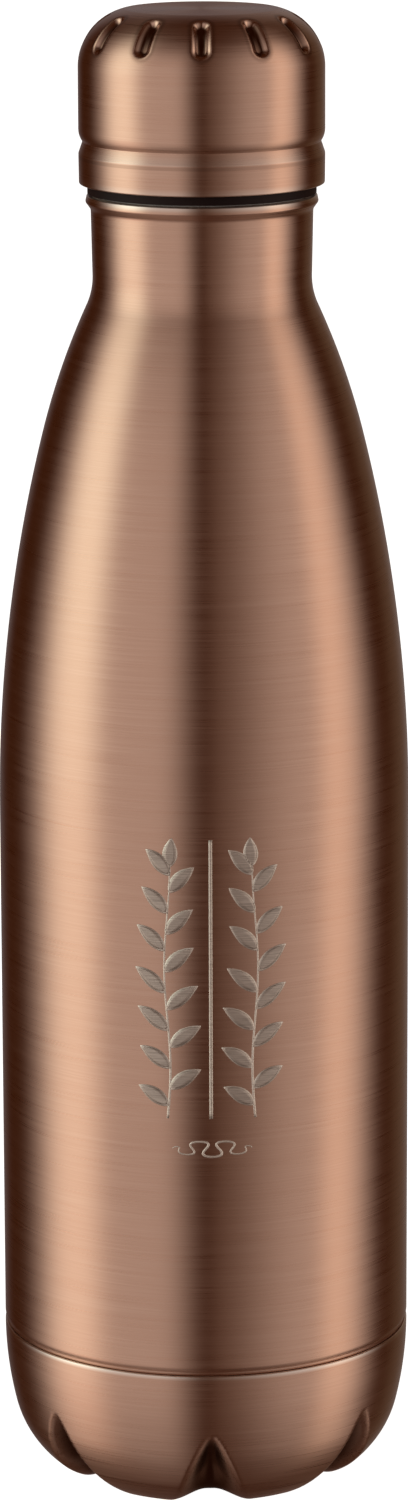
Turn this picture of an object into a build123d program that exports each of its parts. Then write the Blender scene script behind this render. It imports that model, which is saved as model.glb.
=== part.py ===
from build123d import *
from math import asin, cos, degrees, radians, sin, sqrt, tan
import os

# Double-walled drinking bottle of half a litre with a screw cap, in copper-coloured steel. Millimetres.
#
# Frame: the origin is on the bottle's axis where its feet stand, +Z is up, and the decorated front
# faces -Y.
#
# The brushed outer shell has a swept shoulder, a short neck and a rolled lip. A thinner flask hangs in
# it from the lip, and the space between the two is the vacuum gap, closed below by a welded bottom with
# a soldered port. A pressed petal cup covers that bottom and stands on seven feet. The cap is a drawn
# shell over a threaded plastic core, which screws into the neck and presses a silicone ring on the lip.

# ---- walls
SHELL_T = 0.5
FLASK_T = 0.4
BASE_T = 0.5
CAP_T = 0.5

# ---- petal cup: three arcs, tangent in turn, from the seam down to the floor
PETALS = 7
PETAL_TURN = -88.5
SIDE_ARC_R = 62.0
SIDE_ARC_END = 13.6
HEEL_ARC_R = 18.0
HEEL_ARC_END = 64.0
FOOT_ARC_R = 5.5
FOOT_IN_R = 18.5
RECESS_SLOPE = 26.0
RECESS_Z = 5.0
VALLEY_R = 5.0
VALLEY_TOP = (34.5, 15.0)
VALLEY_SLOPE = 50.0
VALLEY_Z = 2.6
HEEL_DROP = (HEEL_ARC_R - FOOT_ARC_R) * sin(radians(HEEL_ARC_END))
SEAM_Z = FOOT_ARC_R + HEEL_DROP + (SIDE_ARC_R - HEEL_ARC_R) * sin(radians(SIDE_ARC_END))

# ---- outside of the bottle, from the seam up
BODY_R = 35.5
SHOULDER_Z = 120.3
LONG_ARC_R = 266.9
LONG_ARC_END = 14.1
SHORT_ARC_R = 126.4
NECK_FILLET_R = 12.0
NECK_R = 18.71
NECK_TOP_R = 18.93
NECK_TOP_Z = 223.4
FLARE_MID = (19.05, 223.9)
FLARE_END = (19.45, 224.56)
LIP_R = 19.85
LIP_Z = 225.3
LIP_TOP_R = 19.3
LIP_TOP_Z = 226.1
LIP_FOLD = 0.4
SEAM_ROUND = 0.45

# ---- flask, which follows the shell inwards of the vacuum gap
FLASK_INSET = 1.9
FLASK_SPLIT_Z = 42.0
FLASK_BOTTOM_Z = 28.6
FLASK_CORNER_R = 9.0
FLASK_NECK_R = NECK_R - FLASK_INSET
MOUTH_R = FLASK_NECK_R - FLASK_T

# ---- bottom of the vacuum gap, inside the petal cup
TAIL_GAP = 0.05
TAIL_STEP = 0.3
TAIL_END_Z = 18.5
TAIL_END_R = 34.35
CLOSURE_Z = 23.0
CLOSURE_T = 0.6
PORT_R = 1.0
DIMPLE_R = 6.0
DIMPLE_DEPTH = 1.2
DIMPLE_LEAN = 0.2
SOLDER_R = 2.4
SOLDER_T = 0.8
FOIL_T = 0.1
FOIL_LOW_Z = 48.0
FOIL_HIGH_Z = 116.0
GETTER_TURN = 40.0
GETTER_AT_R = 17.0
GETTER_R = 3.5
GETTER_T = 1.4
CLIP_W = 3.0
CLIP_T = 0.25
CLIP_EAR = 3.0
CLIP_FIT = 0.05

# ---- screw thread: right-handed, one start
PITCH = 4.0
TURNS = 2.0
FEMALE_Z = 214.6
MALE_Z = FEMALE_Z - PITCH / 2
FEMALE_CREST_R = 15.35
MALE_CREST_R = 16.05
PLUG_R = 15.0
THREAD_ROOT_W = 1.7
THREAD_CREST_W = 0.8
THREAD_BITE = 0.15

# ---- cap
CAP_R = 20.95
CAP_RIM_Z = 227.5
CAP_RIM_ROUND = 0.4
GROOVE_LOW_Z = 233.2
GROOVE_ARC_R = 3.54
GROOVE_ARC_END = 36.4
GROOVE_HIGH_Z = 237.3
CORNER_R = 10.0
CORNER_Z = 247.7
HEIGHT = 257.5
FLUTES = 12
FLUTE_R = 1.7
FLUTE_DEPTH = 0.9
FLUTE_LOW = 27.3
FLUTE_HIGH = 56.0

# ---- core of the cap
CORE_FIT = 0.1
CORE_FLOOR_Z = 228.7
FLANGE_R = 19.5
FLANGE_LOW_Z = 226.45
FLANGE_HIGH_Z = 228.3
SKIRT_TOP_Z = 232.9
SKIRT_SLANT = 0.8
CORE_TOP_Z = 241.0
CORE_WALL = 1.8
CORE_R = 19.5
PLUG_LOW_Z = 209.0
PLUG_END_T = 1.6
PLUG_EDGE = 0.6
SPIGOT_H = 1.2
COVER_T = 1.5

# ---- silicone ring, in a groove under the flange
RING_IN_R = 16.7
RING_OUT_R = 18.6
RING_LOW_Z = 226.15
RING_HIGH_Z = 227.35
RING_FIT = 0.1


# ---- helpers
def pt(r, z):
    """A point of a half section, which lies in the XZ plane."""
    return Vector(r, 0, z)


def polar(centre, radius, angle):
    """The point at an angle in degrees from +X towards +Z about a centre (r, z)."""
    return pt(centre[0] + radius * cos(radians(angle)), centre[1] + radius * sin(radians(angle)))


def arc(centre, radius, start, end):
    """The arc about a centre from one angle to another."""
    return ThreePointArc(*[polar(centre, radius, a) for a in (start, (start + end) / 2, end)])


def turned(*edges):
    """The solid of revolution of the closed half section that the edges bound."""
    return revolve(make_face([e for piece in edges for e in piece.edges()]), Axis.Z, 360)


def turned_points(*points):
    """The solid of revolution of a half section with straight sides."""
    return revolve(make_face(Polyline(*[pt(r, z) for r, z in points], close=True)), Axis.Z, 360)


def bridge(a, b):
    """The straight edge from the end of one edge to the start of the next."""
    return Line(a @ 1, b @ 0)


def round_the_axis(shape, count, first=0.0):
    """Copies of a shape spaced evenly about Z, the first turned by first degrees."""
    return [Rot(0, 0, first + 360 / count * i) * shape for i in range(count)]


def shoulder_arcs(inset):
    """The shoulder's two arcs and the fillet under the neck, tangent in turn, moved inwards by inset."""
    long_centre = (BODY_R - LONG_ARC_R, SHOULDER_Z)
    shift = LONG_ARC_R - SHORT_ARC_R
    corner = polar(long_centre, shift, LONG_ARC_END)
    short_centre = (corner.X, corner.Z)
    fillet_r = NECK_R + NECK_FILLET_R
    slant = SHORT_ARC_R + NECK_FILLET_R
    rise = sqrt(slant**2 - (fillet_r - short_centre[0]) ** 2)
    meet = degrees(asin(rise / slant))
    long_arc = arc(long_centre, LONG_ARC_R - inset, 0, LONG_ARC_END)
    short_arc = arc(short_centre, SHORT_ARC_R - inset, LONG_ARC_END, meet)
    fillet = arc((fillet_r, short_centre[1] + rise), NECK_FILLET_R + inset, 180 + meet, 180)
    return [long_arc, short_arc, fillet]


def side_outline(inset, low_z):
    """The straight wall from low_z, the shoulder and the fillet, moved inwards by inset."""
    arcs = shoulder_arcs(inset)
    return [Line(pt(BODY_R - inset, low_z), arcs[0] @ 0)] + arcs


def cap_outline(inset):
    """The cap's side from its rim through the rolled groove to the edge of the flat top."""
    r = CAP_R - inset
    corner_centre = (CAP_R - CORNER_R, CORNER_Z)
    corner_end = degrees(asin((HEIGHT - CORNER_Z) / CORNER_R))
    band = Line(pt(r, CAP_RIM_Z + CAP_RIM_ROUND), pt(r, GROOVE_LOW_Z))
    roll = arc((CAP_R - GROOVE_ARC_R, GROOVE_HIGH_Z), GROOVE_ARC_R - inset, -GROOVE_ARC_END, 0)
    corner = arc(corner_centre, CORNER_R - inset, 0, corner_end)
    return [band, bridge(band, roll), roll, bridge(roll, corner), corner]


def petal_outline(inset):
    """The petal cup's surface without its valleys, from the middle of its recess to the seam."""
    side_centre = (BODY_R - SIDE_ARC_R, SEAM_Z)
    heel_at = polar(side_centre, SIDE_ARC_R - HEEL_ARC_R, -SIDE_ARC_END)
    foot_at = polar((heel_at.X, heel_at.Z), HEEL_ARC_R - FOOT_ARC_R, -HEEL_ARC_END)
    side = arc((side_centre[0], SEAM_Z), SIDE_ARC_R - inset, -SIDE_ARC_END, 0)
    heel = arc((heel_at.X, heel_at.Z), HEEL_ARC_R - inset, -HEEL_ARC_END, -SIDE_ARC_END)
    toe = arc((foot_at.X, foot_at.Z), FOOT_ARC_R - inset, -90, -HEEL_ARC_END)
    inner = arc((FOOT_IN_R, foot_at.Z), FOOT_ARC_R - inset, -90 - RECESS_SLOPE, -90)
    start = inner @ 0
    recess_z = RECESS_Z + inset
    recess_r = start.X - (recess_z - start.Z) / tan(radians(RECESS_SLOPE))
    floor = Line(pt(0, recess_z), pt(recess_r, recess_z))
    return [floor, bridge(floor, inner), inner, bridge(inner, toe), toe, heel, side]


def valley_cutter(radius):
    """What one valley takes out of the petal cup: a tilted round bar that levels out under the feet."""
    normal = radians(VALLEY_SLOPE - 90)
    top = pt(VALLEY_TOP[0] + VALLEY_R * cos(normal), VALLEY_TOP[1] + VALLEY_R * sin(normal))
    knee_z = VALLEY_Z - VALLEY_R
    knee = pt(top.X - (top.Z - knee_z) / tan(radians(VALLEY_SLOPE)), knee_z)
    rising = Plane(origin=knee, z_dir=top - knee)
    bar = extrude(rising * Circle(radius), 3 * VALLEY_R + (top - knee).length)
    level = extrude(Plane(origin=knee, z_dir=(-1, 0, 0)) * Circle(radius), knee.X)
    return bar + level + Pos(*knee) * Sphere(radius)


def flute_cutter(radius):
    """What one flute takes out of the cap's corner: a bent bar with round ends."""
    centre = (CAP_R - CORNER_R, CORNER_Z)
    path_r = CORNER_R + FLUTE_R - FLUTE_DEPTH
    low = polar(centre, path_r, FLUTE_LOW)
    high = polar(centre, path_r, FLUTE_HIGH)
    along = Vector(-sin(radians(FLUTE_LOW)), 0, cos(radians(FLUTE_LOW)))
    section = Plane(origin=low, z_dir=along) * Circle(radius)
    bar = revolve(section, Axis((centre[0], 0, centre[1]), (0, -1, 0)), FLUTE_HIGH - FLUTE_LOW)
    return bar + Pos(*low) * Sphere(radius) + Pos(*high) * Sphere(radius)


def thread_ridge(root_r, crest_r, start_z):
    """A right-handed thread ridge whose middle starts at start_z on the +X side and winds up."""
    path = Helix(pitch=PITCH, height=PITCH * TURNS, radius=root_r, center=(0, 0, start_z))
    section = make_face(
        Polyline(
            pt(root_r, start_z - THREAD_ROOT_W / 2),
            pt(crest_r, start_z - THREAD_CREST_W / 2),
            pt(crest_r, start_z + THREAD_CREST_W / 2),
            pt(root_r, start_z + THREAD_ROOT_W / 2),
            close=True,
        )
    )
    return sweep(section, path=path, is_frenet=True)


# ---- the bottle
def make_outer_shell():
    """Wall, shoulder, neck and rolled lip in one drawn piece, stepped in below for the petal cup."""
    outside = side_outline(0, SEAM_Z + SEAM_ROUND)
    inside = side_outline(SHELL_T, SEAM_Z)
    neck = Line(outside[-1] @ 1, pt(NECK_TOP_R, NECK_TOP_Z))
    flare = ThreePointArc(neck @ 1, pt(*FLARE_MID), pt(*FLARE_END))
    bead = ThreePointArc(flare @ 1, pt(LIP_R, LIP_Z), pt(LIP_TOP_R, LIP_TOP_Z))
    rim = Line(bead @ 1, pt(FLASK_NECK_R, LIP_TOP_Z))
    rim_edge = Line(rim @ 1, pt(FLASK_NECK_R, LIP_TOP_Z - SHELL_T))
    under_rim = Line(rim_edge @ 1, pt(NECK_TOP_R - SHELL_T, LIP_TOP_Z - SHELL_T - LIP_FOLD))
    neck_inside = Line(under_rim @ 1, inside[-1] @ 1)
    tail = Polyline(
        pt(BODY_R - SHELL_T, SEAM_Z),
        pt(TAIL_END_R - SHELL_T, TAIL_END_Z),
        pt(TAIL_END_R, TAIL_END_Z),
        pt(BODY_R - BASE_T - TAIL_GAP, SEAM_Z - TAIL_STEP),
        pt(BODY_R - BASE_T - TAIL_GAP, SEAM_Z),
        pt(BODY_R - SEAM_ROUND, SEAM_Z),
    )
    seam_round = arc((BODY_R - SEAM_ROUND, SEAM_Z + SEAM_ROUND), SEAM_ROUND, -90, 0)
    edges = outside + [neck, flare, bead, rim, rim_edge, under_rim, neck_inside] + inside + [tail, seam_round]
    return turned(*edges)


def make_inner_flask():
    """The drink's own wall, from the weld with its bottom to the lip, with the thread in its neck."""
    outside = side_outline(FLASK_INSET, FLASK_SPLIT_Z)
    inside = side_outline(FLASK_INSET + FLASK_T, FLASK_SPLIT_Z)
    neck = Polyline(
        outside[-1] @ 1,
        pt(FLASK_NECK_R, LIP_TOP_Z),
        pt(MOUTH_R, LIP_TOP_Z),
        inside[-1] @ 1,
    )
    foot = Line(inside[0] @ 0, outside[0] @ 0)
    wall = turned(*outside, neck, *inside, foot)
    return wall + thread_ridge(MOUTH_R + THREAD_BITE, FEMALE_CREST_R, FEMALE_Z)


def make_flask_bottom():
    """The rounded cup that closes the flask, welded to its wall edge to edge."""
    r, z = BODY_R - FLASK_INSET, FLASK_BOTTOM_Z
    centre = (r - FLASK_CORNER_R, z + FLASK_CORNER_R)
    outer_corner = arc(centre, FLASK_CORNER_R, -90, 0)
    inner_corner = arc(centre, FLASK_CORNER_R - FLASK_T, 0, -90)
    edges = [
        Line(pt(0, z), outer_corner @ 0),
        outer_corner,
        Line(outer_corner @ 1, pt(r, FLASK_SPLIT_Z)),
        Line(pt(r, FLASK_SPLIT_Z), pt(r - FLASK_T, FLASK_SPLIT_Z)),
        Line(pt(r - FLASK_T, FLASK_SPLIT_Z), inner_corner @ 0),
        inner_corner,
        Line(inner_corner @ 1, pt(0, z + FLASK_T)),
        Line(pt(0, z + FLASK_T), pt(0, z)),
    ]
    return turned(*edges)


def make_shell_bottom():
    """The disc that closes the vacuum gap, with its flange turned down and the port in a dimple."""
    r = TAIL_END_R - SHELL_T
    low, high = CLOSURE_Z, CLOSURE_Z + CLOSURE_T
    return turned_points(
        (PORT_R, low - DIMPLE_DEPTH),
        (DIMPLE_R - DIMPLE_DEPTH, low - DIMPLE_DEPTH),
        (DIMPLE_R, low),
        (r - CLOSURE_T, low),
        (r - CLOSURE_T, TAIL_END_Z),
        (r, TAIL_END_Z),
        (r, high),
        (DIMPLE_R - DIMPLE_LEAN, high),
        (DIMPLE_R - DIMPLE_DEPTH - DIMPLE_LEAN, high - DIMPLE_DEPTH),
        (PORT_R, high - DIMPLE_DEPTH),
    )


def make_port_solder():
    """The glass solder that fills the port and lies in the dimple under it."""
    low = CLOSURE_Z - DIMPLE_DEPTH
    foot_r = SOLDER_R - SOLDER_T
    bead = turned_points((0, low - SOLDER_T), (foot_r, low - SOLDER_T), (SOLDER_R, low), (0, low))
    stem = Pos(0, 0, low + CLOSURE_T / 2) * Cylinder(PORT_R, CLOSURE_T)
    return bead + stem


def make_getter():
    """The pellet that takes up stray gas, on the closure inside the vacuum gap."""
    pellet = Pos(GETTER_AT_R, 0, CLOSURE_Z + CLOSURE_T + GETTER_T / 2) * Cylinder(GETTER_R, GETTER_T)
    return Rot(0, 0, GETTER_TURN) * pellet


def make_getter_clip():
    """The bent strip that is spot-welded over the pellet and holds it."""
    low = CLOSURE_Z + CLOSURE_T
    high = low + GETTER_T
    side = GETTER_R + CLIP_FIT
    path = Polyline(
        pt(-side - CLIP_EAR, low),
        pt(-side, low),
        pt(-side, high),
        pt(side, high),
        pt(side, low),
        pt(side + CLIP_EAR, low),
        pt(side + CLIP_EAR, low + CLIP_T),
        pt(side + CLIP_T, low + CLIP_T),
        pt(side + CLIP_T, high + CLIP_T),
        pt(-side - CLIP_T, high + CLIP_T),
        pt(-side - CLIP_T, low + CLIP_T),
        pt(-side - CLIP_EAR, low + CLIP_T),
        close=True,
    )
    strip = extrude(make_face(path), CLIP_W / 2, both=True)
    return Rot(0, 0, GETTER_TURN) * Pos(GETTER_AT_R, 0, 0) * strip


def make_copper_foil():
    """The foil wound on the flask, which throws the drink's heat back."""
    r = BODY_R - FLASK_INSET
    return turned_points(
        (r, FOIL_LOW_Z), (r + FOIL_T, FOIL_LOW_Z), (r + FOIL_T, FOIL_HIGH_Z), (r, FOIL_HIGH_Z)
    )


def petal_form(inset):
    """The solid inside the petal cup's surface moved inwards by inset, valleys included."""
    outline = petal_outline(inset)
    top = Polyline(outline[-1] @ 1, pt(0, SEAM_Z), outline[0] @ 0)
    form = turned(*outline, top)
    for cutter in round_the_axis(valley_cutter(VALLEY_R + inset), PETALS, PETAL_TURN):
        form -= cutter
    return form


def make_petal_base():
    """The pressed cup that the bottle stands on."""
    return petal_form(0) - petal_form(BASE_T)


# ---- the seal
def make_seal_ring():
    """The silicone ring that the cap presses on the lip."""
    return turned_points(
        (RING_IN_R, RING_LOW_Z), (RING_OUT_R, RING_LOW_Z), (RING_OUT_R, RING_HIGH_Z), (RING_IN_R, RING_HIGH_Z)
    )


# ---- the cap
def cap_form(inset):
    """The solid inside the cap's surface moved inwards by inset, flutes included."""
    outline = cap_outline(inset)
    high_z = (outline[-1] @ 1).Z
    low_z = CAP_RIM_Z if inset else CAP_RIM_Z + CAP_RIM_ROUND
    top = Polyline(outline[-1] @ 1, pt(0, high_z), pt(0, low_z), pt(CAP_R - inset, low_z))
    edges = outline + [top]
    if inset:
        edges.append(Line(top @ 1, outline[0] @ 0))
    form = turned(*edges)
    for cutter in round_the_axis(flute_cutter(FLUTE_R + inset), FLUTES):
        form -= cutter
    return form


def make_cap_shell():
    """The drawn cap: a rolled groove round its side, flutes on its corner and a rim turned in."""
    rim_centre = (CAP_R - CAP_RIM_ROUND, CAP_RIM_Z + CAP_RIM_ROUND)
    rim_round = arc(rim_centre, CAP_RIM_ROUND, -90, 0)
    rim_top = Polyline(rim_round @ 1, pt(0, rim_centre[1]), pt(0, CAP_RIM_Z), rim_round @ 0)
    outer = cap_form(0) + turned(rim_round, rim_top)
    return outer - cap_form(CAP_T)


def make_cap_core():
    """The moulded core: hollow plug with its thread, flange over the lip and skirt that holds the shell."""
    bore_r = PLUG_R - CORE_WALL
    skirt_r = CAP_R - CAP_T - CORE_FIT
    inner_r = CORE_R - CORE_WALL
    body = turned_points(
        (bore_r, PLUG_LOW_Z + PLUG_END_T),
        (PLUG_R, PLUG_LOW_Z + PLUG_END_T),
        (PLUG_R, FLANGE_LOW_Z),
        (RING_IN_R - RING_FIT, FLANGE_LOW_Z),
        (RING_IN_R - RING_FIT, RING_HIGH_Z + RING_FIT),
        (RING_OUT_R + RING_FIT, RING_HIGH_Z + RING_FIT),
        (RING_OUT_R + RING_FIT, FLANGE_LOW_Z),
        (FLANGE_R, FLANGE_LOW_Z),
        (FLANGE_R, FLANGE_HIGH_Z),
        (skirt_r, FLANGE_HIGH_Z),
        (skirt_r, SKIRT_TOP_Z),
        (CORE_R, SKIRT_TOP_Z + SKIRT_SLANT),
        (CORE_R, CORE_TOP_Z),
        (inner_r, CORE_TOP_Z),
        (inner_r, CORE_FLOOR_Z),
        (bore_r, CORE_FLOOR_Z),
    )
    return body + thread_ridge(PLUG_R - THREAD_BITE, MALE_CREST_R, MALE_Z)


def make_plug_end():
    """The disc welded to the bottom of the hollow plug, spigot up."""
    spigot_r = PLUG_R - CORE_WALL
    step_z = PLUG_LOW_Z + PLUG_END_T
    return turned_points(
        (0, PLUG_LOW_Z),
        (PLUG_R - PLUG_EDGE, PLUG_LOW_Z),
        (PLUG_R, PLUG_LOW_Z + PLUG_EDGE),
        (PLUG_R, step_z),
        (spigot_r, step_z),
        (spigot_r, step_z + SPIGOT_H),
        (0, step_z + SPIGOT_H),
    )


def make_cap_foam():
    """The foam that fills the plug and the core above it."""
    low_z = PLUG_LOW_Z + PLUG_END_T + SPIGOT_H
    bore_r = PLUG_R - CORE_WALL
    inner_r = CORE_R - CORE_WALL
    return turned_points(
        (0, low_z),
        (bore_r, low_z),
        (bore_r, CORE_FLOOR_Z),
        (inner_r, CORE_FLOOR_Z),
        (inner_r, CORE_TOP_Z),
        (0, CORE_TOP_Z),
    )


def make_core_cover():
    """The disc that closes the core over its foam, under the cap's top."""
    return Pos(0, 0, CORE_TOP_Z + COVER_T / 2) * Cylinder(CORE_R, COVER_T)


NODES = {
    "outer_shell": make_outer_shell,
    "inner_flask": make_inner_flask,
    "flask_bottom": make_flask_bottom,
    "shell_bottom": make_shell_bottom,
    "port_solder": make_port_solder,
    "getter": make_getter,
    "getter_clip": make_getter_clip,
    "copper_foil": make_copper_foil,
    "petal_base": make_petal_base,
    "seal_ring": make_seal_ring,
    "cap_shell": make_cap_shell,
    "cap_core": make_cap_core,
    "plug_end": make_plug_end,
    "cap_foam": make_cap_foam,
    "core_cover": make_core_cover,
}

os.makedirs("parts", exist_ok=True)
for node, make in NODES.items():
    export_step(make(), f"parts/{node}.step")
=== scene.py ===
from math import asin, atan2, ceil, cos, degrees, hypot, pi, radians, sin, sqrt, tau

import bpy
import numpy as np
from mathutils import Matrix


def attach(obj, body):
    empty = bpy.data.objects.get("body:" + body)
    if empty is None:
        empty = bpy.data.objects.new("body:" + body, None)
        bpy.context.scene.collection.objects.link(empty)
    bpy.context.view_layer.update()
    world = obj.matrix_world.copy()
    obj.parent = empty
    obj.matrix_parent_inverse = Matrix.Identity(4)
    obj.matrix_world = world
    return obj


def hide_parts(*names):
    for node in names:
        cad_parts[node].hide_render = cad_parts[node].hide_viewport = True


# Looks of the copper drinking bottle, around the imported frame. Sizes and outlines are in millimetres and
# meshes in metres, +Z is up, and the decorated front faces -Y.

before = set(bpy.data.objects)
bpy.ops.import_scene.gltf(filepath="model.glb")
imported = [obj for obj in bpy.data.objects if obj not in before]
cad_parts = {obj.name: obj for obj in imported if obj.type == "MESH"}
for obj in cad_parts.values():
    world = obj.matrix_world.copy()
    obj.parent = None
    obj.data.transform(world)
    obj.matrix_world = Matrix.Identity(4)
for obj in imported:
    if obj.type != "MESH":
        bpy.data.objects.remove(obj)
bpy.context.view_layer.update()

MM = 0.001

# ---- sizes of the bottle. Most are the frame's own. The skins' fine details are added here, the cap's
# rim is 0.55 above its node's, and the valleys are deeper than their node's.
BODY_R = 35.5
SEAM_Z = 27.08
SHOULDER_Z = 120.3
LONG_ARC_R, LONG_ARC_END = 266.9, 14.1
SHORT_ARC_R = 126.4
NECK_R, NECK_FILLET_R = 18.71, 12.0
NECK_TOP = (18.93, 223.4)
LIP_R, LIP_Z, LIP_TOP_Z = 19.85, 225.2, 226.1
FLASK_NECK_R = 16.81
WALL = 0.5
SEAM_STEP, ROLL_RISE, ROLL_RUN = 0.35, 1.3, 3.0
TAIL_STEP, TAIL_DROP, TAIL_T = 0.55, 4.0, 0.3

SIDE_ARC_R, SIDE_ARC_END = 62.0, 13.6
HEEL_ARC_R, HEEL_ARC_END = 18.0, 64.0
FOOT_ARC_R, FOOT_IN_R = 5.5, 18.5
RECESS_SLOPE, RECESS_Z = 26.0, 5.0
PETALS, PETAL_TURN = 7, -88.5
VALLEY_TOP_Z = 15.8
VALLEY_DEPTH, SOLE_DEPTH = 4.3, 2.3
VALLEY_HALF_W, VALLEY_MAX_ANGLE = 7.4, 24.0
VALLEY_WIDENING, VALLEY_FLAT = 0.7, 0.08
ONSET_SHARE, ONSET_POWER, SOLE_SHARE = 0.62, 2.2, 0.6
VALLEY_END_R, VALLEY_FULL_R = 7.0, 16.0

CAP_R = 20.95
CAP_RIM_Z = 228.05
GROOVE_LOW_Z, GROOVE_HIGH_Z = 233.2, 237.3
GROOVE_ARC_R, GROOVE_ARC_END = 3.54, 36.4
LEDGE_LOW_Z, LEDGE_HIGH_Z = 233.1, 235.1
CORNER_R, CORNER_Z = 10.0, 247.7
HEIGHT = 257.5
FLUTES = 12
FLUTE_DEPTH, FLUTE_HALF_W, FLUTE_FLAT = 0.95, 1.75, 0.22
FLUTE_LOW, FLUTE_HIGH = 27.3, 56.0

# ---- marks on the metal, most of them painted light: how wide the painted highlights on edges are, and how strong each mark is
HIGHLIGHT_BAND, BEAD_HIGHLIGHT_BAND = 0.3, 0.8
RIM_PAINTED_HIGHLIGHT, LEDGE_PAINTED_HIGHLIGHT = 0.5, 0.35
FLUTE_FLOOR_PAINTED_SHADE, HALO_PAINTED_SHADE, UNDER_LEDGE_PAINTED_SHADE = 0.85, 0.4, 0.25
VALLEY_PAINTED_SHADE_SHARE, POLISH_SHARE = 0.6, 0.3

SHELL_SEGMENTS, PETAL_SEGMENTS, CAP_SEGMENTS = 256, 420, 468

# ---- ornament on the front of the wall: u runs round the wall to the right of the middle
LEFT_TWIG_U, RIGHT_TWIG_U = -6.4, 8.6
RULE_U = 1.0
TWIG_LOW_Z, TWIG_HIGH_Z = 73.0, 121.6
TWIG_REACH, TWIG_SWAY, TWIG_WAVES = 6.4, 0.5, 1.25
TWIG_LEAVES, TWIG_STEPS = 13, 60
LEAF_HALF_W, FILL_HALF_W = 1.3, 1.12
RULE_HALF_W, RULE_FILL_HALF_W = 0.3, 0.18
MEANDER_U, MEANDER_Z, MEANDER_LENGTH, MEANDER_HEIGHT = 1.2, 67.7, 13.6, 1.4
MEANDER_WAVES, MEANDER_STEPS = 3, 120
SUNK, LINE_LIFT, FILL_LIFT = 0.1, 0.02, 0.03

# ---- camera: lens and sensor in millimetres, place in metres, turns in degrees
LENS, SENSOR_W, CLIP_START = 140.82, 36.0, 0.05
CAMERA_BACK, CAMERA_UP = 0.9939, 0.3493
CAMERA_DOWN, CAMERA_ROLL = 12.483, -0.21


# ---- outlines
def arc(centre, radius, start, end, step=0.6):
    """Points (r, z) along an arc, angles in degrees from +R towards +Z, no further apart than step."""
    count = max(2, ceil(abs(radians(end - start)) * radius / step))
    angles = np.radians(np.linspace(start, end, count + 1))
    return [(centre[0] + radius * cos(a), centre[1] + radius * sin(a)) for a in angles]


def straight(a, b, step):
    """Points from a to b, no further apart than step."""
    count = max(1, ceil(hypot(b[0] - a[0], b[1] - a[1]) / step))
    return [(a[0] + (b[0] - a[0]) * i / count, a[1] + (b[1] - a[1]) * i / count) for i in range(count + 1)]


def rounded(before, corner, after, radius, pieces=6):
    """A curve close to a fillet, which rounds the corner between two points on its legs."""
    def unit(p):
        length = hypot(p[0] - corner[0], p[1] - corner[1])
        return ((p[0] - corner[0]) / length, (p[1] - corner[1]) / length)
    u, v = unit(before), unit(after)
    half = 0.5 * (pi - abs(atan2(u[0] * v[1] - u[1] * v[0], u[0] * v[0] + u[1] * v[1])))
    reach = radius * sin(half) / cos(half)
    a = (corner[0] + u[0] * reach, corner[1] + u[1] * reach)
    b = (corner[0] + v[0] * reach, corner[1] + v[1] * reach)
    out = []
    for i in range(pieces + 1):
        t = i / pieces
        out.append(tuple((1 - t) ** 2 * a[k] + 2 * t * (1 - t) * corner[k] + t**2 * b[k] for k in (0, 1)))
    return out


def merged(points, tolerance=0.01):
    """The same points with near doubles dropped."""
    out = [points[0]]
    for p in points[1:]:
        if hypot(p[0] - out[-1][0], p[1] - out[-1][1]) > tolerance:
            out.append(p)
    return np.array(out)


def outward_normals(outline):
    """Unit normals of an outline that runs anticlockwise, with the material on its left."""
    along = np.gradient(outline, axis=0)
    along /= np.linalg.norm(along, axis=1)[:, None]
    return np.stack([along[:, 1], -along[:, 0]], axis=1)


# ---- meshes
def mesh_object(name, verts, faces, material):
    mesh = bpy.data.meshes.new(name)
    mesh.from_pydata([tuple(v) for v in verts], [], faces)
    mesh.update()
    mesh.shade_smooth()
    obj = bpy.data.objects.new(name, mesh)
    bpy.context.scene.collection.objects.link(obj)
    mesh.materials.append(material)
    return obj


def ring_angles(segments):
    return np.arange(segments) * tau / segments


def rings_of(outline, angles, depth=None, wall=0.0):
    """One ring of points (r, z) for each point of an outline, moved inwards along its normal.

    The move is wall plus depth(point, angles), in millimetres."""
    rings = []
    for point, normal in zip(outline, outward_normals(outline)):
        inward = np.full_like(angles, wall)
        if depth:
            inward += depth(point, angles)
        rings.append(point[None, :] - inward[:, None] * normal[None, :])
    return rings


def end_lip(outer, inner, pieces=8):
    """The half-round edge that leads from the last ring of an outer surface to its inner surface."""
    middle = (outer + inner) / 2
    half = (outer - inner) / 2
    ahead = np.stack([-half[:, 1], half[:, 0]], axis=1)
    return [middle + half * cos(a) + ahead * sin(a) for a in np.linspace(0, pi, pieces + 1)[1:-1]]


def skin(name, rings, angles, material, closed=False, marks=None):
    """A surface through rings of points (r, z). A ring on the axis becomes one point.

    A closed surface joins its last ring to its first. marks gives, for each attribute, a list of values
    for each ring's points."""
    verts, rows = [], []
    for ring in rings:
        first = len(verts)
        if abs(ring[0, 0]) < 1e-6:
            verts.append((0.0, 0.0, ring[0, 1] * MM))
            rows.append([first])
            continue
        r, z = ring[:, 0] * MM, ring[:, 1] * MM
        verts += list(zip(r * np.cos(angles), r * np.sin(angles), z))
        rows.append(list(range(first, first + len(angles))))
    faces = []
    for low, high in zip(rows, rows[1:] + ([rows[0]] if closed else [])):
        for j in range(len(angles)):
            k = (j + 1) % len(angles)
            if len(low) == 1:
                faces.append((low[0], high[k], high[j]))
            elif len(high) == 1:
                faces.append((low[j], low[k], high[0]))
            else:
                faces.append((low[j], low[k], high[k], high[j]))
    obj = mesh_object(name, verts, faces, material)
    for attribute_name, values in (marks or {}).items():
        shown = np.concatenate([value[:len(row)] for value, row in zip(values, rows)])
        attribute = obj.data.attributes.new(attribute_name, "FLOAT", "POINT")
        attribute.data.foreach_set("value", shown.astype(np.float32))
    return obj


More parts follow.
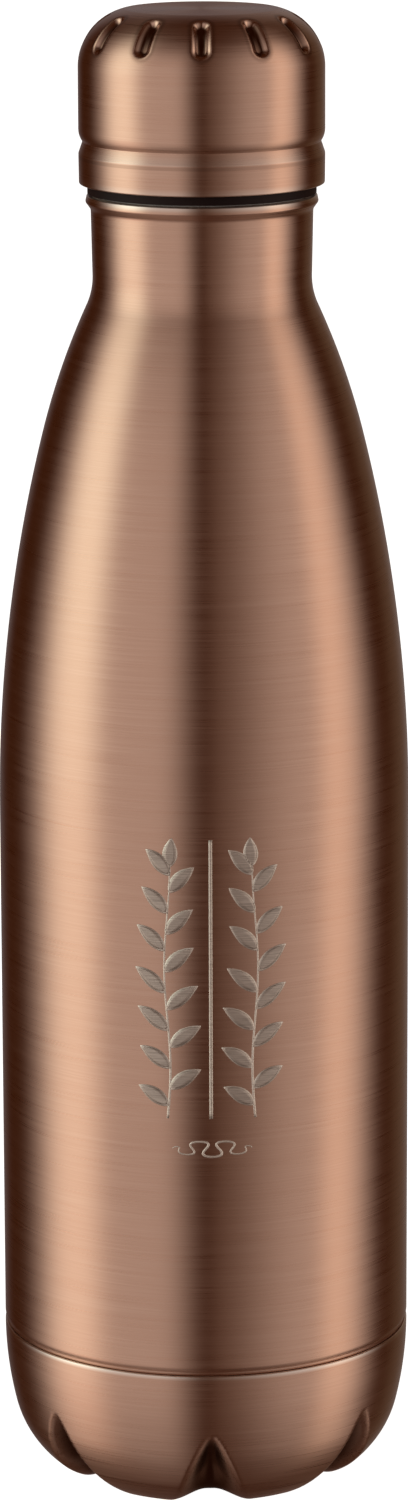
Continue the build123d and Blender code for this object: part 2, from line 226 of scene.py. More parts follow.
def pressed_shell(name, outline, depth, segments, material, marked):
    """A thin pressed sheet: the outline's surface with its depressions, a round edge, and its inside.

    marked gives, for each attribute, a function of (point, angles) for the outer surface."""
    angles = ring_angles(segments)
    outer = rings_of(outline, angles, depth)
    inner = rings_of(outline, angles, depth, WALL)
    plain = [np.zeros_like(angles)] * len(inner)
    marks = {}
    if outline[0][0] < 1e-6:
        lip = end_lip(outer[-1], inner[-1])
        rings = outer + lip + inner[::-1]
        for attribute_name, mark in marked.items():
            shown = [mark(point, angles) for point in outline]
            marks[attribute_name] = shown + [shown[-1]] * len(lip) + plain
    else:
        lip = end_lip(inner[0], outer[0])
        rings = inner[::-1] + lip + outer
        for attribute_name, mark in marked.items():
            shown = [mark(point, angles) for point in outline]
            marks[attribute_name] = plain + [shown[0]] * len(lip) + shown
    return skin(name, rings, angles, material, marks=marks)


# ---- materials
WHITE, NO_LIGHT = (1, 1, 1, 1), (0, 0, 0, 1)
COPPER_DARK, COPPER_BRIGHT = (0.655, 0.405, 0.300, 1), (0.785, 0.520, 0.400, 1)
# The second of these tones is painted shade for recesses and creases, and the third is a painted highlight on
# edges and ledges; the first is the burnished copper of the flutes.
POLISHED, PAINTED_SHADE_TONE, PAINTED_HIGHLIGHT_TONE = (0.80, 0.53, 0.41, 1), (0.14, 0.065, 0.04, 1), (0.96, 0.82, 0.72, 1)
BRUSHED_ROUGHNESS, POLISHED_ROUGHNESS, BRUSH_RELIEF = 0.30, 0.14, 0.30
ANISOTROPY, ANISOTROPY_TURN = 0.75, 0.25
HAIRS, BANDS, ROUND_THE_RING = 5200.0, 900.0, 55.0
NOISE_LOW, NOISE_HIGH = 0.3, 0.7


class Nodes:
    """A short way to write node trees."""

    def __init__(self, tree):
        self.tree = tree
        tree.nodes.clear()

    def put(self, value, socket):
        if isinstance(value, bpy.types.NodeSocket):
            self.tree.links.new(value, socket)
        elif value is not None:
            socket.default_value = value

    def add(self, kind, settings=None, **inputs):
        node = self.tree.nodes.new(kind)
        for name, value in (settings or {}).items():
            setattr(node, name, value)
        for name, value in inputs.items():
            self.put(value, node.inputs[name.replace("_", " ")])
        return node

    def math(self, operation, *values):
        node = self.tree.nodes.new("ShaderNodeMath")
        node.operation = operation
        for socket, value in zip(node.inputs, values):
            self.put(value, socket)
        return node.outputs[0]

    def vector_math(self, operation, *values):
        node = self.tree.nodes.new("ShaderNodeVectorMath")
        node.operation = operation
        for socket, value in zip(node.inputs, values):
            self.put(value, socket)
        return node.outputs["Value"] if operation == "LENGTH" else node.outputs[0]

    def combine(self, x, y, z):
        node = self.tree.nodes.new("ShaderNodeCombineXYZ")
        for socket, value in zip(node.inputs, (x, y, z)):
            self.put(value, socket)
        return node.outputs[0]

    def separate(self, vector):
        node = self.tree.nodes.new("ShaderNodeSeparateXYZ")
        self.put(vector, node.inputs[0])
        return node.outputs

    def spread(self, value, low, high, to_low=0.0, to_high=1.0, smooth=False):
        """Maps low..high to to_low..to_high."""
        node = self.tree.nodes.new("ShaderNodeMapRange")
        node.interpolation_type = "SMOOTHSTEP" if smooth else "LINEAR"
        for socket, setting in zip(node.inputs, (value, low, high, to_low, to_high)):
            self.put(setting, socket)
        return node.outputs[0]

    def noise(self, vector, scale, detail=2.0, w=None):
        node = self.tree.nodes.new("ShaderNodeTexNoise")
        node.noise_dimensions = "3D" if w is None else "4D"
        self.put(vector, node.inputs["Vector"])
        if w is not None:
            self.put(w, node.inputs["W"])
        node.inputs["Scale"].default_value = scale
        node.inputs["Detail"].default_value = detail
        return node.outputs[0]

    def from_noise(self, noise, to_low=0.0, to_high=1.0):
        """Maps the usual range of a noise to to_low..to_high."""
        return self.spread(noise, NOISE_LOW, NOISE_HIGH, to_low, to_high)

    def mix(self, factor, a, b, blend="MIX"):
        node = self.tree.nodes.new("ShaderNodeMix")
        node.data_type = "RGBA"
        node.blend_type = blend
        self.put(factor, node.inputs[0])
        self.put(a, node.inputs[6])
        self.put(b, node.inputs[7])
        return node.outputs[2]


def new_material(name):
    material = bpy.data.materials.new(name)
    material.use_nodes = True
    nodes = Nodes(material.node_tree)
    output = nodes.add("ShaderNodeOutputMaterial")
    shader = nodes.add("ShaderNodeBsdfPrincipled")
    nodes.put(shader.outputs[0], output.inputs["Surface"])
    return material, nodes, shader


def relief(nodes, shader, height, strength, depth):
    """Roughens a surface by a height that varies by depth, in metres."""
    bump = nodes.add("ShaderNodeBump", Strength=strength, Distance=depth, Height=height)
    nodes.put(bump.outputs[0], shader.inputs["Normal"])


def shades_of(colour, darker, brighter):
    """A darker and a brighter tone of a colour."""
    return tuple(c * darker for c in colour) + (1,), tuple(min(1.0, c * brighter) for c in colour) + (1,)


def ring_streaks(nodes, fine):
    """Noise drawn out into rings round the axis, fine rings to a metre along the surface."""
    place = nodes.add("ShaderNodeTexCoord").outputs["Object"]
    x, y, z = nodes.separate(place)
    from_axis = nodes.vector_math("LENGTH", nodes.combine(x, y, 0.0))
    x_drawn = nodes.math("MULTIPLY", x, ROUND_THE_RING)
    y_drawn = nodes.math("MULTIPLY", y, ROUND_THE_RING)
    drawn = nodes.combine(x_drawn, y_drawn, nodes.math("MULTIPLY", z, fine))
    return nodes.noise(drawn, 1.0, 2.0, w=nodes.math("MULTIPLY", from_axis, fine))


def brushed_copper(name):
    """Copper-coloured metal brushed round the axis.

    Attributes mark special places: polish, smooth and bright; shade, painted shade, dark, in recesses and
    creases; edge, a painted highlight on edges and ledges."""
    material, nodes, shader = new_material(name)
    hair = ring_streaks(nodes, HAIRS)
    band = ring_streaks(nodes, BANDS)
    grain = nodes.math("ADD", nodes.math("MULTIPLY", hair, 0.7), nodes.math("MULTIPLY", band, 0.3))
    colour = nodes.mix(nodes.from_noise(grain), COPPER_DARK, COPPER_BRIGHT)
    rough = nodes.from_noise(grain, BRUSHED_ROUGHNESS - 0.05, BRUSHED_ROUGHNESS + 0.05)
    marks = {}
    # The shade attribute mixes painted shade into the colour, and the edge attribute mixes in a painted
    # highlight.
    for mark, tone in (("polish", POLISHED), ("shade", PAINTED_SHADE_TONE), ("edge", PAINTED_HIGHLIGHT_TONE)):
        marks[mark] = nodes.add("ShaderNodeAttribute", {"attribute_name": mark}).outputs["Fac"]
        colour = nodes.mix(marks[mark], colour, tone)
    rough = nodes.spread(marks["polish"], 0.0, 1.0, rough, POLISHED_ROUGHNESS)
    strength = nodes.spread(marks["polish"], 0.0, 1.0, BRUSH_RELIEF, 0.0)
    relief(nodes, shader, grain, strength, 0.00002)
    tangent = nodes.add("ShaderNodeTangent", {"direction_type": "RADIAL", "axis": "Z"})
    nodes.put(colour, shader.inputs["Base Color"])
    nodes.put(rough, shader.inputs["Roughness"])
    nodes.put(tangent.outputs[0], shader.inputs["Tangent"])
    shader.inputs["Metallic"].default_value = 1.0
    shader.inputs["Anisotropic"].default_value = ANISOTROPY
    shader.inputs["Anisotropic Rotation"].default_value = ANISOTROPY_TURN
    return material


def steel(name, colour, roughness, streaks=2500.0):
    """Bare metal with turning marks."""
    material, nodes, shader = new_material(name)
    grain = ring_streaks(nodes, streaks)
    cloud = nodes.noise(nodes.add("ShaderNodeTexCoord").outputs["Object"], 90.0)
    tint = nodes.math("ADD", nodes.math("MULTIPLY", grain, 0.6), nodes.math("MULTIPLY", cloud, 0.4))
    tone = nodes.mix(nodes.from_noise(tint), *shades_of(colour, 0.82, 1.12))
    nodes.put(tone, shader.inputs["Base Color"])
    nodes.put(nodes.from_noise(grain, roughness - 0.06, roughness + 0.06), shader.inputs["Roughness"])
    relief(nodes, shader, grain, 0.25, 0.00003)
    shader.inputs["Metallic"].default_value = 1.0
    return material


def moulded(name, colour, roughness, grain_size=2600.0, metallic=0.0, gloss=0.5):
    """Plastic, rubber, foam or pressed powder: a fine even grain and slight clouds of tone."""
    material, nodes, shader = new_material(name)
    place = nodes.add("ShaderNodeTexCoord").outputs["Object"]
    grain = nodes.noise(place, grain_size, 3.0)
    cloud = nodes.noise(place, 120.0, 2.0)
    tone = nodes.mix(nodes.from_noise(cloud), *shades_of(colour, 0.75, 1.3))
    nodes.put(tone, shader.inputs["Base Color"])
    nodes.put(nodes.from_noise(grain, roughness - 0.05, roughness + 0.07), shader.inputs["Roughness"])
    relief(nodes, shader, grain, 0.2, 0.00004)
    shader.inputs["Metallic"].default_value = metallic
    shader.inputs["Specular IOR Level"].default_value = gloss
    return material


def engraved(name, dark, bright):
    """Laser-marked metal: the beam's fine level lines, matt and pale."""
    material, nodes, shader = new_material(name)
    place = nodes.add("ShaderNodeTexCoord").outputs["Object"]
    x, _, z = nodes.separate(place)
    drawn = nodes.combine(nodes.math("MULTIPLY", x, 200.0), 0.0, nodes.math("MULTIPLY", z, 7000.0))
    line = nodes.noise(drawn, 1.0)
    nodes.put(nodes.mix(nodes.spread(line, 0.35, 0.65), dark, bright), shader.inputs["Base Color"])
    relief(nodes, shader, line, 0.5, 0.00003)
    shader.inputs["Metallic"].default_value = 0.8
    shader.inputs["Roughness"].default_value = 0.5
    return material


# ---- outer shell
def shoulder_points(inset):
    """The long and the short arc of the shoulder and the fillet under the neck, tangent in turn."""
    long_centre = (BODY_R - LONG_ARC_R, SHOULDER_Z)
    shift = LONG_ARC_R - SHORT_ARC_R
    turn = radians(LONG_ARC_END)
    short_centre = (long_centre[0] + shift * cos(turn), long_centre[1] + shift * sin(turn))
    fillet_r = NECK_R + NECK_FILLET_R
    slant = SHORT_ARC_R + NECK_FILLET_R
    rise = sqrt(slant**2 - (fillet_r - short_centre[0]) ** 2)
    meet = degrees(asin(rise / slant))
    fillet_centre = (fillet_r, short_centre[1] + rise)
    long_arc = arc(long_centre, LONG_ARC_R - inset, 0, LONG_ARC_END, 1.2)
    short_arc = arc(short_centre, SHORT_ARC_R - inset, LONG_ARC_END, meet, 1.0)
    return long_arc + short_arc + arc(fillet_centre, NECK_FILLET_R + inset, 180 + meet, 180, 0.4)


def outer_shell_outline():
    """The whole closed section: roll over the seam, wall, shoulder, neck, lip, and back down inside."""
    step_r = BODY_R - SEAM_STEP
    roll_z = SEAM_Z + ROLL_RISE
    wall_z = roll_z + ROLL_RUN
    seam = [(step_r - 0.2, SEAM_Z + 0.03), (step_r - 0.04, SEAM_Z + 0.12)]
    seam += rounded((step_r, SEAM_Z + 0.2), (step_r, SEAM_Z + 0.62), (BODY_R, roll_z), 0.3)
    seam += rounded((step_r, SEAM_Z + 0.62), (BODY_R, roll_z), (BODY_R, wall_z), 1.6)
    outer = shoulder_points(0)
    under = (NECK_TOP[0] + 0.02, NECK_TOP[1] + 0.3)
    widest = (LIP_R, LIP_Z - 0.25)
    corner = (LIP_R - 0.25, LIP_TOP_Z)
    neck = straight(outer[-1], (NECK_TOP[0], NECK_TOP[1] - 0.3), 1.2)
    bead = rounded(neck[-1], under, widest, 1.2)
    bead += rounded(under, widest, corner, 0.5)
    bead += rounded(widest, corner, (LIP_R - 2, LIP_TOP_Z), 0.3)
    edge_r = FLASK_NECK_R + 0.02
    rim = straight((LIP_R - 1.0, LIP_TOP_Z), (edge_r, LIP_TOP_Z), 0.5)
    rim += [(edge_r, LIP_TOP_Z - WALL), (NECK_TOP[0] - WALL, LIP_TOP_Z - WALL - 0.4)]
    inner = shoulder_points(WALL)[::-1]
    tail_r = BODY_R - WALL - TAIL_STEP
    tail_z = SEAM_Z - TAIL_DROP
    tail = [(BODY_R - WALL, roll_z + 0.3), (tail_r, SEAM_Z + 0.4)]
    tail += [(tail_r, tail_z), (tail_r + TAIL_T, tail_z)]
    wall = straight((BODY_R, wall_z), outer[0], 3.0)
    return merged(seam + wall + outer + neck + bead + rim + inner + tail)


def bead_highlight(point, angles):
    """A painted highlight on the outer edge of the lip's bead."""
    r, z = point
    return np.full_like(angles, float(z > LIP_Z + HIGHLIGHT_BAND and r > LIP_R - BEAD_HIGHLIGHT_BAND))


# ---- petal cup
def petal_outline():
    """From the middle of the recess over the feet up to the lip under the seam, without the valleys."""
    side_centre = (BODY_R - SIDE_ARC_R, SEAM_Z)
    turn = radians(SIDE_ARC_END)
    reach = SIDE_ARC_R - HEEL_ARC_R
    heel_centre = (side_centre[0] + reach * cos(turn), side_centre[1] - reach * sin(turn))
    turn = radians(HEEL_ARC_END)
    reach = HEEL_ARC_R - FOOT_ARC_R
    foot_centre = (heel_centre[0] + reach * cos(turn), heel_centre[1] - reach * sin(turn))
    inner = arc((FOOT_IN_R, foot_centre[1]), FOOT_ARC_R, -90 - RECESS_SLOPE, -90, 0.5)
    slope_run = (RECESS_Z - inner[0][1]) / sin(radians(RECESS_SLOPE)) * cos(radians(RECESS_SLOPE))
    dish = (inner[0][0] - slope_run, RECESS_Z)
    floor = straight((0.0, RECESS_Z), (dish[0] - 1.5, RECESS_Z), 1.5)
    dish_round = rounded(floor[-1], dish, inner[0], 2.5)
    slope = straight(dish_round[-1], inner[0], 0.6)
    toe = arc(foot_centre, FOOT_ARC_R, -90, -HEEL_ARC_END, 0.4)
    sole = straight(inner[-1], toe[0], 0.5)
    heel = arc(heel_centre, HEEL_ARC_R, -HEEL_ARC_END, -SIDE_ARC_END, 0.4)
    side = arc(side_centre, SIDE_ARC_R, -SIDE_ARC_END, -degrees(WALL / 2 / SIDE_ARC_R), 0.6)
    return merged(floor + dish_round + slope + inner + sole + toe + heel + side, 0.05)


def ramp(value, low, high):
    """0 up to low, 1 from high, and a smooth rise between them."""
    t = np.clip((value - low) / (high - low), 0.0, 1.0)
    return t * t * (3 - 2 * t)


def off_centre(angles, count, turn):
    """The angle in radians from each angle to the nearest of count marks."""
    pitch = tau / count
    return (angles - radians(turn) + pitch / 2) % pitch - pitch / 2


def valley_depth(point, angles):
    """How far the petal cup is pressed in at one ring of its outline."""
    r, z = point
    down = (VALLEY_TOP_Z - z) / VALLEY_TOP_Z if r > FOOT_IN_R else 1.0
    if down <= 0:
        return np.zeros_like(angles)
    start = 1 - (1 - min(1.0, down / ONSET_SHARE)) ** ONSET_POWER
    to_sole = ramp(down, SOLE_SHARE, 1.0)
    fade = ramp(r, VALLEY_END_R, VALLEY_FULL_R)
    depth = (VALLEY_DEPTH + (SOLE_DEPTH - VALLEY_DEPTH) * to_sole) * start * fade
    half_w = min(VALLEY_HALF_W * down**VALLEY_WIDENING, r * radians(VALLEY_MAX_ANGLE))
    across = np.abs(off_centre(angles, PETALS, PETAL_TURN)) * r / half_w
    return depth * (1 - ramp(across, VALLEY_FLAT, 1.0))


def valley_painted_shade(point, angles):
    """Painted shade on the valleys' floors, darkest where they are deepest."""
    return ramp(valley_depth(point, angles), 0.0, VALLEY_PAINTED_SHADE_SHARE * VALLEY_DEPTH)


def lip_highlight(point, angles):
    """A painted highlight on the lip of the petal cup, under the seam."""
    return np.full_like(angles, float(point[1] > SEAM_Z - HIGHLIGHT_BAND))


# ---- cap
def cap_outline():
    """From the rim up over the rolled groove and the corner to the middle of the flat top."""
    corner_centre = (CAP_R - CORNER_R, CORNER_Z)
    corner_end = degrees(asin((HEIGHT - CORNER_Z) / CORNER_R))
    roll_centre = (CAP_R - GROOVE_ARC_R, GROOVE_HIGH_Z)
    roll = arc(roll_centre, GROOVE_ARC_R, -GROOVE_ARC_END, 0, 0.25)
    band = straight((CAP_R - 0.05, CAP_RIM_Z + 0.25), (CAP_R, GROOVE_LOW_Z - 0.9), 1.2)
    band += straight(band[-1], (CAP_R, GROOVE_LOW_Z - 0.3), 0.15)
    edge = rounded(band[-1], (CAP_R, GROOVE_LOW_Z), roll[0], 1.0)
    crease = rounded(edge[-1], roll[0], roll[2], 0.12, 4)
    corner = arc(corner_centre, CORNER_R, 0, corner_end - 1.5, 0.25)
    top_edge = (corner_centre[0] + CORNER_R * cos(radians(corner_end)), HEIGHT)
    turn = rounded(corner[-1], top_edge, (0, HEIGHT), 1.3)
    top = straight(turn[-1], (0.0, HEIGHT), 2.0)
    wall = straight(roll[-1], corner[0], 2.0)
    return merged(band + edge + crease + roll[2:] + wall + corner + turn + top, 0.04)


def from_flute(point, angles):
    """How far a ring's points are from the middle lines of the flutes, 1 at their borders."""
    r, z = point
    turn = degrees(atan2(z - CORNER_Z, r - CAP_R + CORNER_R))
    half_run = radians(FLUTE_HIGH - FLUTE_LOW) / 2 * CORNER_R
    off_mid = abs(radians(turn - (FLUTE_HIGH + FLUTE_LOW) / 2)) * CORNER_R
    across = off_centre(angles, FLUTES, -90) * r
    return np.hypot(across, max(0.0, off_mid - half_run)) / FLUTE_HALF_W


def flute_depth(point, angles):
    """How far the cap is pressed in at one ring of its corner."""
    return FLUTE_DEPTH * (1 - ramp(from_flute(point, angles), FLUTE_FLAT, 1.0))


def flute_polish(point, angles):
    """Where the press has burnished the cap: 1 in the flutes, 0 outside them."""
    return ramp(flute_depth(point, angles), 0.0, POLISH_SHARE * FLUTE_DEPTH)


def cap_painted_shade(point, angles):
    """Painted shade: dark floors in the flutes, a faint dark border round them, and a faint dark line under
    the ledge.
    """
    far = from_flute(point, angles)
    floor = FLUTE_FLOOR_PAINTED_SHADE * (1 - ramp(far, 0.35, 0.7))
    halo = HALO_PAINTED_SHADE * ramp(far, 0.95, 1.05) * (1 - ramp(far, 1.1, 1.5))
    under_ledge = UNDER_LEDGE_PAINTED_SHADE if LEDGE_LOW_Z - 0.75 < point[1] < LEDGE_LOW_Z - 0.1 else 0.0
    return floor + halo + under_ledge


def cap_highlight(point, angles):
    """A painted highlight on the rim at the bottom of the cap, and on the ledge under the groove."""
    if point[1] < CAP_RIM_Z + HIGHLIGHT_BAND:
        return np.full_like(angles, RIM_PAINTED_HIGHLIGHT)
    return np.full_like(angles, LEDGE_PAINTED_HIGHLIGHT if LEDGE_LOW_Z < point[1] < LEDGE_HIGH_Z else 0.0)


# ---- ornament
def plate(strip, low, high, across):
    """Verts and faces of a thin curved plate: strip is pairs of points (u, z) along the front of the wall,
    low and high are its two faces measured from the wall, and across is the number of faces over it."""
    verts, faces = [], []
    for (u0, z0), (u1, z1) in strip:
        for lift in (high, low):
            for i in range(across + 1):
                u = u0 + (u1 - u0) * i / across
                z = z0 + (z1 - z0) * i / across
                r = BODY_R + lift
                verts.append((r * sin(u / BODY_R) * MM, -r * cos(u / BODY_R) * MM, z * MM))
    width = across + 1
    step = 2 * width
    for k in range(len(strip) - 1):
        a, b = k * step, (k + 1) * step
        for i in range(across):
            faces.append((a + i, b + i, b + i + 1, a + i + 1))
            faces.append((a + width + i + 1, b + width + i + 1, b + width + i, a + width + i))
        faces.append((a + width, b + width, b, a))
        faces.append((a + across, b + across, b + width + across, a + width + across))
    last = (len(strip) - 1) * step
    for i in range(across):
        faces.append((i, i + 1, width + i + 1, width + i))
        faces.append((last + i + 1, last + i, last + width + i, last + width + i + 1))
    return verts, faces


def stroke(points, half_width):
    """Pairs of points either side of a line, half_width(t) away, t running from 0 to 1."""
    line = np.array(points, dtype=float)
    along = np.gradient(line, axis=0)
    along /= np.linalg.norm(along, axis=1)[:, None]
    side = np.stack([along[:, 1], -along[:, 0]], axis=1)
    pairs = []
    for i, (p, n) in enumerate(zip(line, side)):
        w = half_width(i / (len(line) - 1))
        pairs.append((p - n * w, p + n * w))
    return pairs


def curve(start, bend, end, count):
    """Points on the quadratic curve from start to end, pulled towards bend."""
    out = []
    for i in range(count + 1):
        t = i / count
        out.append(tuple((1 - t) ** 2 * start[k] + 2 * t * (1 - t) * bend[k] + t**2 * end[k] for k in (0, 1)))
    return out


def leaf_line(root, length, lean, curl):
    """The midrib of a leaf that leaves its root at lean degrees from +u and curls by curl millimetres."""
    ahead = (cos(radians(lean)), sin(radians(lean)))
    aside = (-ahead[1], ahead[0])
    tip = (root[0] + ahead[0] * length, root[1] + ahead[1] * length)
    bend = ((root[0] + tip[0]) / 2 + aside[0] * curl, (root[1] + tip[1]) / 2 + aside[1] * curl)
    return curve(root, bend, tip, 16)


def leaf_half_width(widest):
    return lambda t: max(0.03, widest * sin(pi * t**0.85) ** 0.8)


def joined(name, plates, material):
    """One object from a list of (verts, faces)."""
    verts, faces = [], []
    for new_verts, new_faces in plates:
        base = len(verts)
        verts += new_verts
        faces += [tuple(base + i for i in face) for face in new_faces]
    return mesh_object(name, verts, faces, material)


def twig_plates(middle_u, sway):
    """An upright twig with leaves in turn on both sides: outlines and fills as two lists of plates."""
    stem = []
    stem_top_z = TWIG_HIGH_Z - TWIG_REACH * 0.75
    for i in range(TWIG_STEPS + 1):
        t = i / TWIG_STEPS
        u = middle_u + sway * sin(tau * TWIG_WAVES * t)
        stem.append((u, TWIG_LOW_Z + (stem_top_z - TWIG_LOW_Z) * t))
    outlines = [plate(stroke(stem, lambda t: 0.22 - 0.1 * t), -SUNK, LINE_LIFT, 1)]
    fills = []
    leaves = [leaf_line(stem[-1], TWIG_REACH * 0.8, 90 - sway * 8, 0.2)]
    for i in range(TWIG_LEAVES):
        t = (i + 0.6) / TWIG_LEAVES
        side = 1 if i % 2 else -1
        lean = 90 - side * (58 - 16 * t)
        length = TWIG_REACH * (1.08 - 0.25 * abs(t - 0.45))
        leaves.append(leaf_line(stem[round(t * TWIG_STEPS)], length, lean, side * 0.55))
    for midrib in leaves:
        outlines.append(plate(stroke(midrib, leaf_half_width(LEAF_HALF_W)), -SUNK, LINE_LIFT, 4))
        fills.append(plate(stroke(midrib[1:-1], leaf_half_width(FILL_HALF_W)), -SUNK, FILL_LIFT, 4))
    return outlines, fills


def make_ornament(line_material, fill_material):
    """Two leafy twigs either side of a rule, and a small meander under them."""
    lines, fills = [], []
    for middle, sway in ((LEFT_TWIG_U, TWIG_SWAY), (RIGHT_TWIG_U, -TWIG_SWAY)):
        twig_lines, twig_fills = twig_plates(middle, sway)
        lines += twig_lines
        fills += twig_fills
    rule = straight((RULE_U, TWIG_LOW_Z), (RULE_U, TWIG_HIGH_Z), 1.0)
    lines.append(plate(stroke(rule, lambda t: RULE_HALF_W), -SUNK, LINE_LIFT, 1))
    fills.append(plate(stroke(rule, lambda t: RULE_FILL_HALF_W), -SUNK, FILL_LIFT, 1))
    meander = []
    for i in range(MEANDER_STEPS + 1):
        t = i / MEANDER_STEPS
        swell = sin(pi * t) ** 0.5
        turn = tau * MEANDER_WAVES * t
        u = MEANDER_U + MEANDER_LENGTH * (t - 0.5) + swell * sin(2 * turn)
        meander.append((u, MEANDER_Z + MEANDER_HEIGHT * swell * cos(turn)))
    lines.append(plate(stroke(meander, lambda t: 0.08 + 0.13 * sin(pi * t)), -SUNK, LINE_LIFT, 1))
    return (joined("ornament_lines", lines, line_material), joined("ornament_fills", fills, fill_material))


# ---- light: a plain studio, laid out by azimuth from the front, in degrees, positive to the right.
# Each softbox has four azimuths, where it starts, is full, starts to fade and is gone, and a colour. The
# rows of FROM_BELOW and FROM_ABOVE are two elevations and the change of level between them.
SOFTBOXES = [
    (-128, -90, -26, 0, (0.540, 0.510, 0.490, 1)),
    (-1, 10, 92, 118, (0.095, 0.080, 0.070, 1)),
    (3, 60, 92, 118, (0.410, 0.395, 0.385, 1)),
    (60, 80, 80, 104, (0.47, 0.38, 0.29, 1)),
    (124, 145, 170, 180, (0.060, 0.055, 0.040, 1)),
]
KEY = (-112, -82, -76, -52)
KEY_LOW, KEY_HIGH = (0.50, 0.37, 0.29, 1), (0.76, 0.90, 0.78, 1)
KEY_WARM_BELOW, KEY_WHITE_ABOVE = -25, 0
BACK_FROM, BACK_FULL, BACK_GLOW = 145, 178, (0.14, 0.15, 0.165, 1)
AMBIENT = (0.044, 0.012, 0.002, 1)
LOWEST_LEVEL = 0.12
FROM_BELOW = [(-85, -50, 0.13), (-52, -24, 0.75)]
FROM_ABOVE = [(18, 62, -0.97)]
LOW_FROM, LOW_FULL = -28, -62
LOW_LEFT, LOW_DIM, LOW_BOOST = (-76, -50, -16, 20), -0.48, 0.34
FLOOR_REACH, FLOOR_DROP = 3.0, 0.0002


def studio():
    """The world: softboxes for all rays but the camera's own, which see white."""
    world = bpy.data.worlds.new("studio")
    bpy.context.scene.world = world
    world.use_nodes = True
    nodes = Nodes(world.node_tree)
    ray = nodes.add("ShaderNodeTexCoord").outputs["Generated"]
    x, y, z = nodes.separate(ray)
    azimuth = nodes.math("MULTIPLY", nodes.math("ARCTAN2", x, nodes.math("MULTIPLY", y, -1.0)), 180 / pi)
    elevation = nodes.math("MULTIPLY", nodes.math("ARCSINE", z), 180 / pi)

    def between(value, start, full, fading, gone):
        rise = nodes.spread(value, start, full, smooth=True)
        fall = nodes.spread(value, fading, gone, 1.0, 0.0, smooth=True)
        return nodes.math("MULTIPLY", rise, fall)

    whiteness = nodes.spread(elevation, KEY_WARM_BELOW, KEY_WHITE_ABOVE, smooth=True)
    key = nodes.mix(whiteness, KEY_LOW, KEY_HIGH)
    light = nodes.mix(between(azimuth, *KEY), NO_LIGHT, key)
    for start, full, fading, gone, colour in SOFTBOXES:
        glow = between(azimuth, start, full, fading, gone)
        light = nodes.mix(glow, light, nodes.mix(1.0, light, colour, "ADD"))
    behind = nodes.spread(nodes.math("ABSOLUTE", azimuth), BACK_FROM, BACK_FULL, smooth=True)
    light = nodes.mix(behind, light, nodes.mix(1.0, light, BACK_GLOW, "ADD"))
    level = LOWEST_LEVEL
    for start, full, gain in FROM_BELOW + FROM_ABOVE:
        level = nodes.math("ADD", nodes.spread(elevation, start, full, 0.0, gain, smooth=True), level)
    low = nodes.spread(elevation, LOW_FROM, LOW_FULL, smooth=True)
    lean = nodes.spread(between(azimuth, *LOW_LEFT), 0.0, 1.0, LOW_DIM, LOW_BOOST)
    level = nodes.math("MULTIPLY", level, nodes.math("MULTIPLY_ADD", low, lean, 1.0))
    light = nodes.mix(1.0, light, nodes.combine(level, level, level), "MULTIPLY")
    light = nodes.mix(1.0, light, AMBIENT, "ADD")
    seen = nodes.add("ShaderNodeLightPath").outputs["Is Camera Ray"]
    shown = nodes.mix(seen, light, WHITE)
    background = nodes.add("ShaderNodeBackground", Color=shown, Strength=1.0)
    nodes.add("ShaderNodeOutputWorld", Surface=background.outputs[0])


def make_floor():
    """A wide white sheet just under the feet, seen by the camera and by nothing else."""
    material, nodes, shader = new_material("paper_floor")
    place = nodes.add("ShaderNodeTexCoord").outputs["Object"]
    fibre = nodes.noise(place, 900.0, 3.0)
    nodes.put(nodes.mix(nodes.from_noise(fibre), (0.93, 0.93, 0.93, 1), WHITE), shader.inputs["Base Color"])
    shader.inputs["Roughness"].default_value = 0.9
    shader.inputs["Emission Color"].default_value = WHITE
    shader.inputs["Emission Strength"].default_value = 1.0
    corners = [(-FLOOR_REACH, -FLOOR_REACH, 0), (FLOOR_REACH, -FLOOR_REACH, 0),
               (FLOOR_REACH, FLOOR_REACH, 0), (-FLOOR_REACH, FLOOR_REACH, 0)]
    floor = mesh_object("floor", corners, [(0, 1, 2, 3)], material)
    floor.location.z = -FLOOR_DROP
    floor.visible_diffuse = False
    floor.visible_glossy = False
    floor.visible_transmission = False
    floor.visible_shadow = False


def make_camera():
    """A long lens in front of the bottle, a little above its top, looking slightly down."""
    camera = bpy.data.objects.new("camera", bpy.data.cameras.new("camera"))
    bpy.context.scene.collection.objects.link(camera)
    camera.data.lens = LENS
    camera.data.sensor_width = SENSOR_W
    camera.data.clip_start = CLIP_START
    camera.location = (0.0, -CAMERA_BACK, CAMERA_UP)
    tilt = Matrix.Rotation(radians(90 - CAMERA_DOWN), 4, "X")
    roll = Matrix.Rotation(radians(CAMERA_ROLL), 4, "Z")
    camera.rotation_euler = (tilt @ roll).to_euler()
    bpy.context.scene.camera = camera


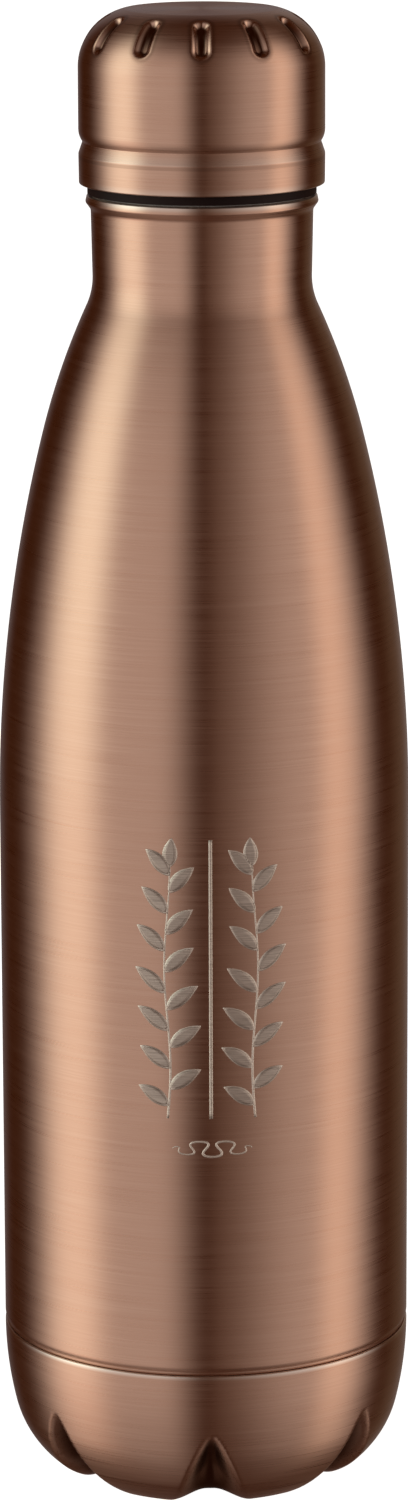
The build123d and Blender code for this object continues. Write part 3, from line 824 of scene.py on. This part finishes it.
# ---- the model
copper = brushed_copper("brushed_copper")
cap_copper = brushed_copper("brushed_cap_copper")
finishes = {
    "inner_flask": steel("flask_steel", (0.60, 0.58, 0.56), 0.32),
    "shell_bottom": steel("closure_steel", (0.52, 0.51, 0.50), 0.42),
    "copper_foil": steel("copper_foil", (0.86, 0.50, 0.33), 0.28, streaks=300.0),
    "getter": moulded("getter_metal", (0.16, 0.16, 0.17), 0.6, metallic=0.6),
    "port_solder": moulded("glass_solder", (0.20, 0.21, 0.20), 0.25),
    "seal_ring": moulded("silicone", (0.62, 0.61, 0.58), 0.5),
    "cap_core": moulded("black_plastic", (0.016, 0.006, 0.005), 0.5, gloss=0.18),
    "cap_foam": moulded("foam", (0.72, 0.68, 0.55), 0.9, grain_size=900.0),
}
finishes["flask_bottom"] = finishes["inner_flask"]
finishes["getter_clip"] = finishes["shell_bottom"]
finishes["plug_end"] = finishes["core_cover"] = finishes["cap_core"]
for node, material in finishes.items():
    node_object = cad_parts[node]
    node_object.data.materials.clear()
    node_object.data.materials.append(material)

shell_angles = ring_angles(SHELL_SEGMENTS)
shell_outline = outer_shell_outline()
shell_rings = rings_of(shell_outline, shell_angles)
# On the shell, the edge attribute is a painted highlight on the bead.
shell_marks = {"edge": [bead_highlight(point, shell_angles) for point in shell_outline]}
shell = skin("shell_skin", shell_rings, shell_angles, copper, closed=True, marks=shell_marks)
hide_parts("outer_shell")
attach(shell, "bottle")

# On the petal cup, shade is painted shade in the valleys and edge is a painted highlight on the lip.
base_marks = {"shade": valley_painted_shade, "edge": lip_highlight}
base = pressed_shell("petal_skin", petal_outline(), valley_depth, PETAL_SEGMENTS, copper, base_marks)
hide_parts("petal_base")
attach(base, "bottle")

# On the cap, polish is the burnish of the flutes, shade is painted shade and edge is a painted highlight.
cap_marks = {"polish": flute_polish, "shade": cap_painted_shade, "edge": cap_highlight}
cap = pressed_shell("cap_skin", cap_outline(), flute_depth, CAP_SEGMENTS, cap_copper, cap_marks)
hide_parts("cap_shell")
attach(cap, "cap")

line_metal = engraved("engraved_lines", (0.88, 0.76, 0.66, 1), (1.0, 0.93, 0.84, 1))
fill_metal = engraved("engraved_fills", (0.52, 0.45, 0.39, 1), (0.78, 0.69, 0.61, 1))
for ornament in make_ornament(line_metal, fill_metal):
    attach(ornament, "bottle")

studio()
make_floor()
make_camera()
bpy.context.scene.view_settings.view_transform = "Standard"
